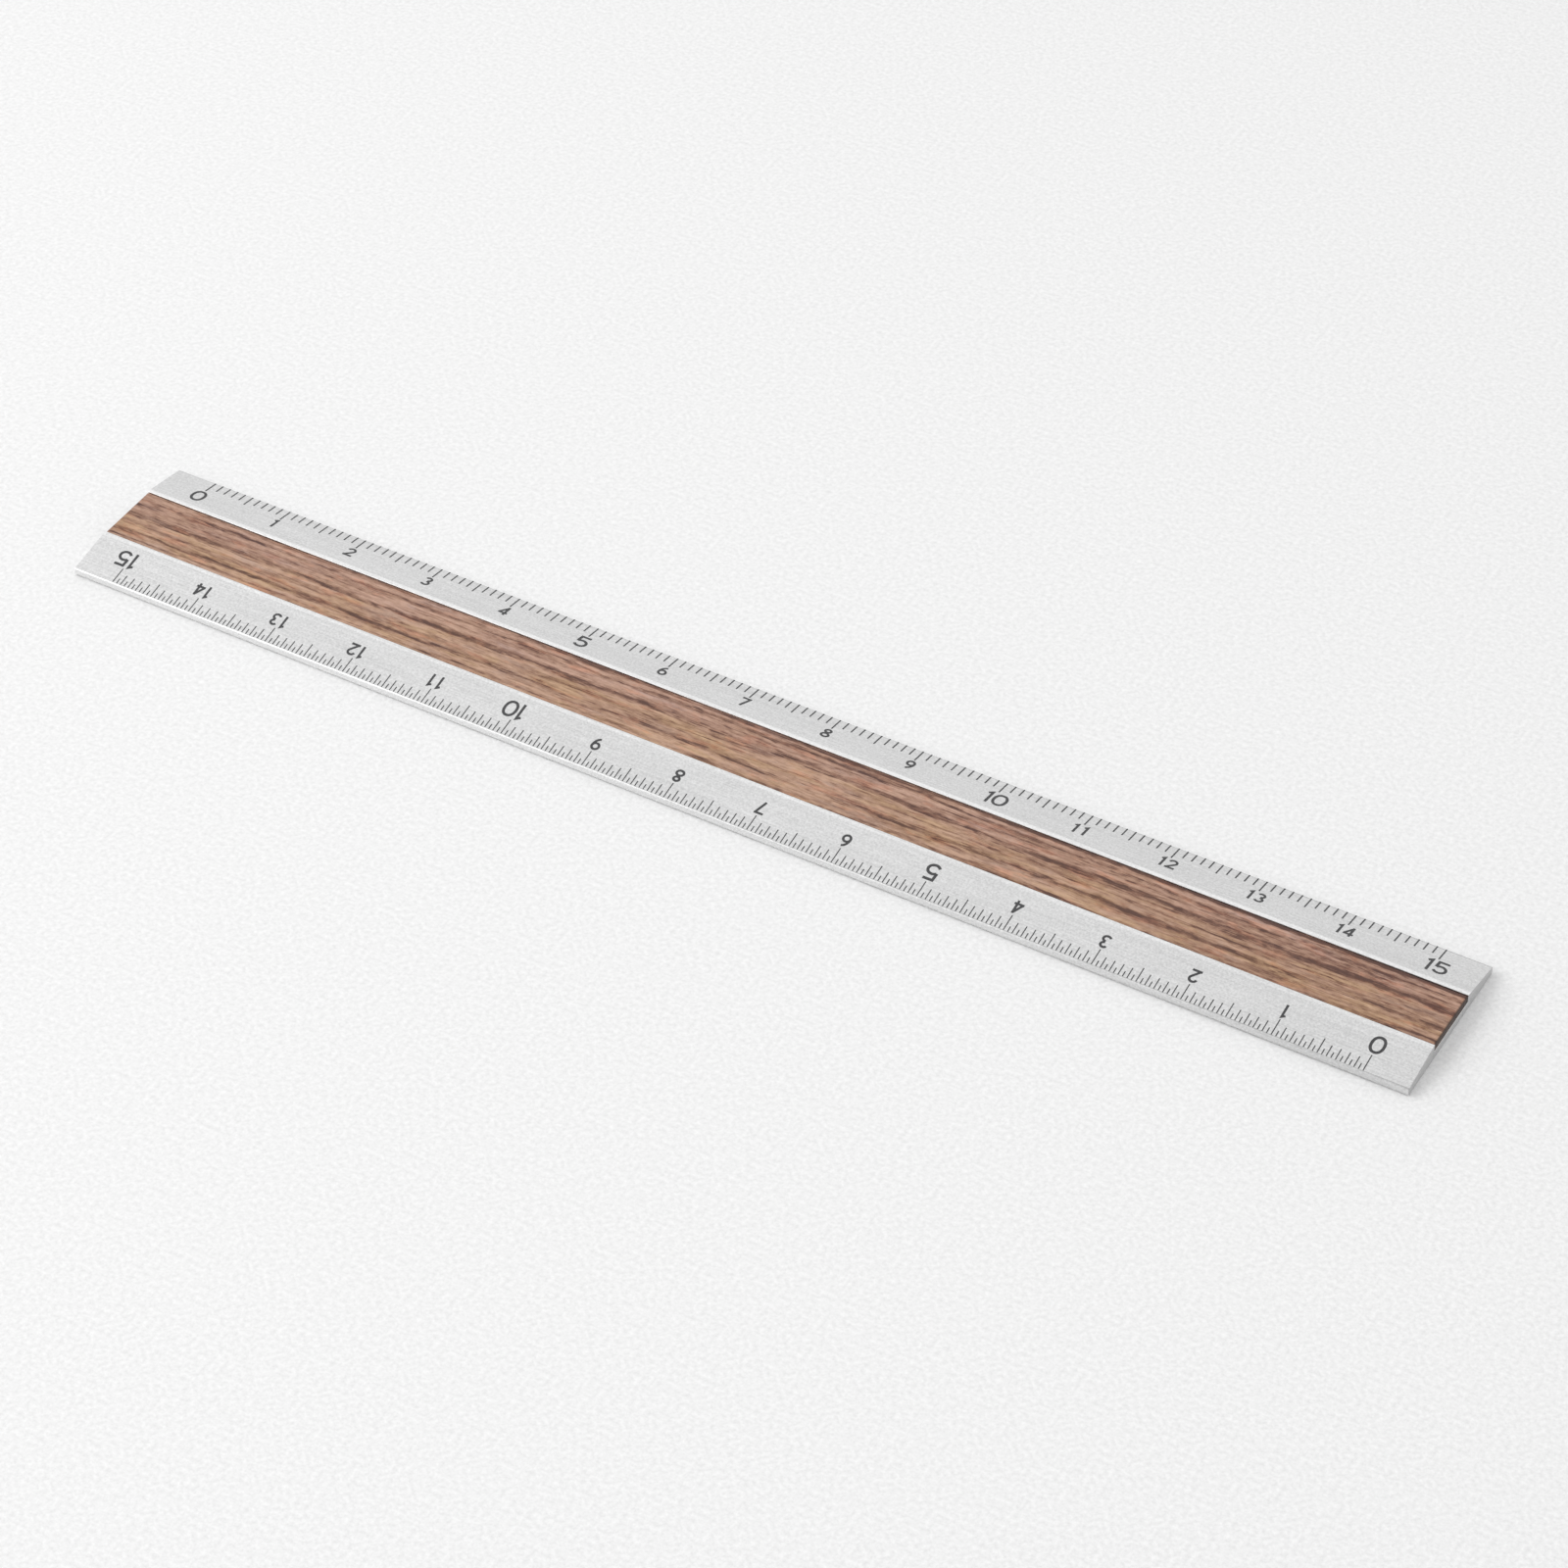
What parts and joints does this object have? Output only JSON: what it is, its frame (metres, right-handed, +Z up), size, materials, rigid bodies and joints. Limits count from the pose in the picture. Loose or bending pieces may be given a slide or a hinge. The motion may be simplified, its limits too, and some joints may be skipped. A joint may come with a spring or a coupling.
{
  "type": "ruler",
  "caption": "Slim satin aluminium desk ruler with bevelled flanks, a walnut strip inlaid along its middle and printed centimetre scales on both edges.",
  "frame": {"origin": "centre of the flat underside, midway between the two ruling edges and the two ends", "axes": "+X along the ruler towards the high numbers of the back scale, +Y towards the back scale's edge, +Z up out of the wood"},
  "size_m": [0.16, 0.02, 0.002],
  "materials": {
    "anodised_aluminium": "fine satin anodised, light silver",
    "walnut": "open-pore walnut, matt oil, grain along the ruler",
    "adhesive": "thin dull amber bonding film, hidden under the wood",
    "scale_ink": "thin matt dark grey print of the graduations and numerals"
  },
  "bodies": {
    "root": {"ruler_body": "anodised_aluminium", "wood_inlay": "walnut", "adhesive_film": "adhesive"}
  },
  "joints": []
}
